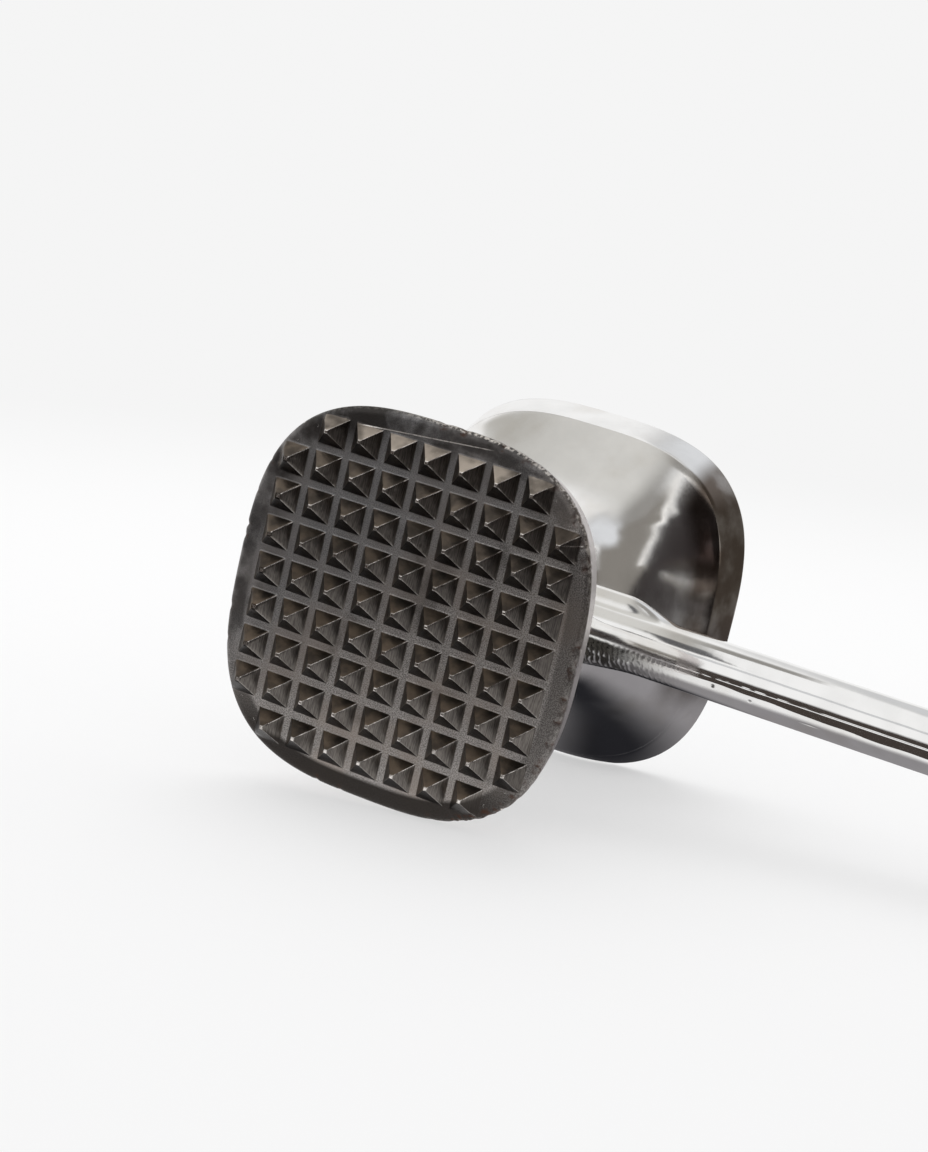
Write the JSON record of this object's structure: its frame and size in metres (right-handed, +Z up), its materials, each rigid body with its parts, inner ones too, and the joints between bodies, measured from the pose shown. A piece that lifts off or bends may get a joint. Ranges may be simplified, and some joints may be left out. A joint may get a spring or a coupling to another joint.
{
  "type": "meat mallet",
  "caption": "All-metal meat mallet with a waisted head, a striking plate of pyramid teeth, a smooth striking plate behind it and a round bar handle with a hang hole.",
  "frame": {"origin": "on the surface that the mallet lies on, below the middle of its box", "axes": "+X along the handle, from the head to the butt; +Y along the head, from the toothed face to the smooth face; +Z up"},
  "size_m": [0.246, 0.0712, 0.065],
  "materials": {
    "dark_cast": "dark as-cast satin, worn bright on the tooth tips and the rim",
    "polished": "polished casting with fine grinding marks",
    "pin_steel": "ground"
  },
  "bodies": {
    "root": {"toothed_plate": "dark_cast", "smooth_plate": "polished", "head_body": "polished", "handle": "polished", "tie_rod": "pin_steel", "dowel_front_left": "pin_steel", "dowel_front_right": "pin_steel", "dowel_rear_left": "pin_steel", "dowel_rear_right": "pin_steel"}
  },
  "joints": []
}
